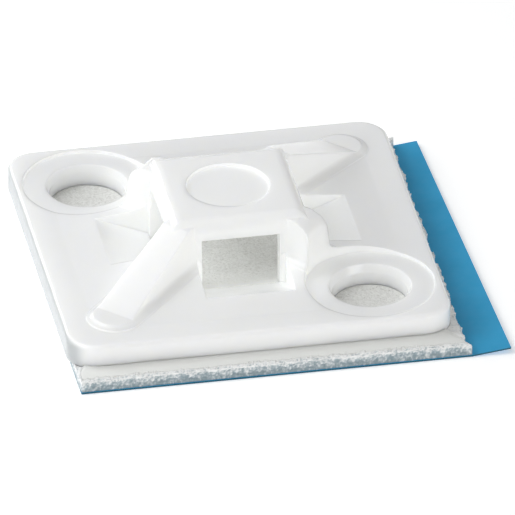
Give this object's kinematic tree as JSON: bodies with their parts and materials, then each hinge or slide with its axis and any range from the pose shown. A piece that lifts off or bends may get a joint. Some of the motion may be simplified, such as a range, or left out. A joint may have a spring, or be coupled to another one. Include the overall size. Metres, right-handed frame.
{
  "type": "cable tie mount",
  "caption": "Square stick-on cable tie mount: low nylon plate with a windowed centre bridge, diagonal ribs and screw holes, on a foam pad with a peel-off liner.",
  "frame": {"origin": "centre of the square moulding's plan, on the underside of the release liner, where the mount meets the surface", "axes": "+Z out of the surface; X and Y along the moulding's sides, with the liner's pull tab at +X; screw holes in the corners at -X +Y and +X -Y"},
  "size_m": [0.0318, 0.03, 0.0068],
  "materials": {
    "nylon": "natural, milky and slightly translucent, smooth moulded",
    "foam": "white closed-cell foam tape with rough cut edges",
    "liner": "thin blue release film, smooth with a soft sheen"
  },
  "bodies": {
    "root": {"mount_body": "nylon", "foam_pad": "foam", "release_liner": "liner"}
  },
  "joints": []
}
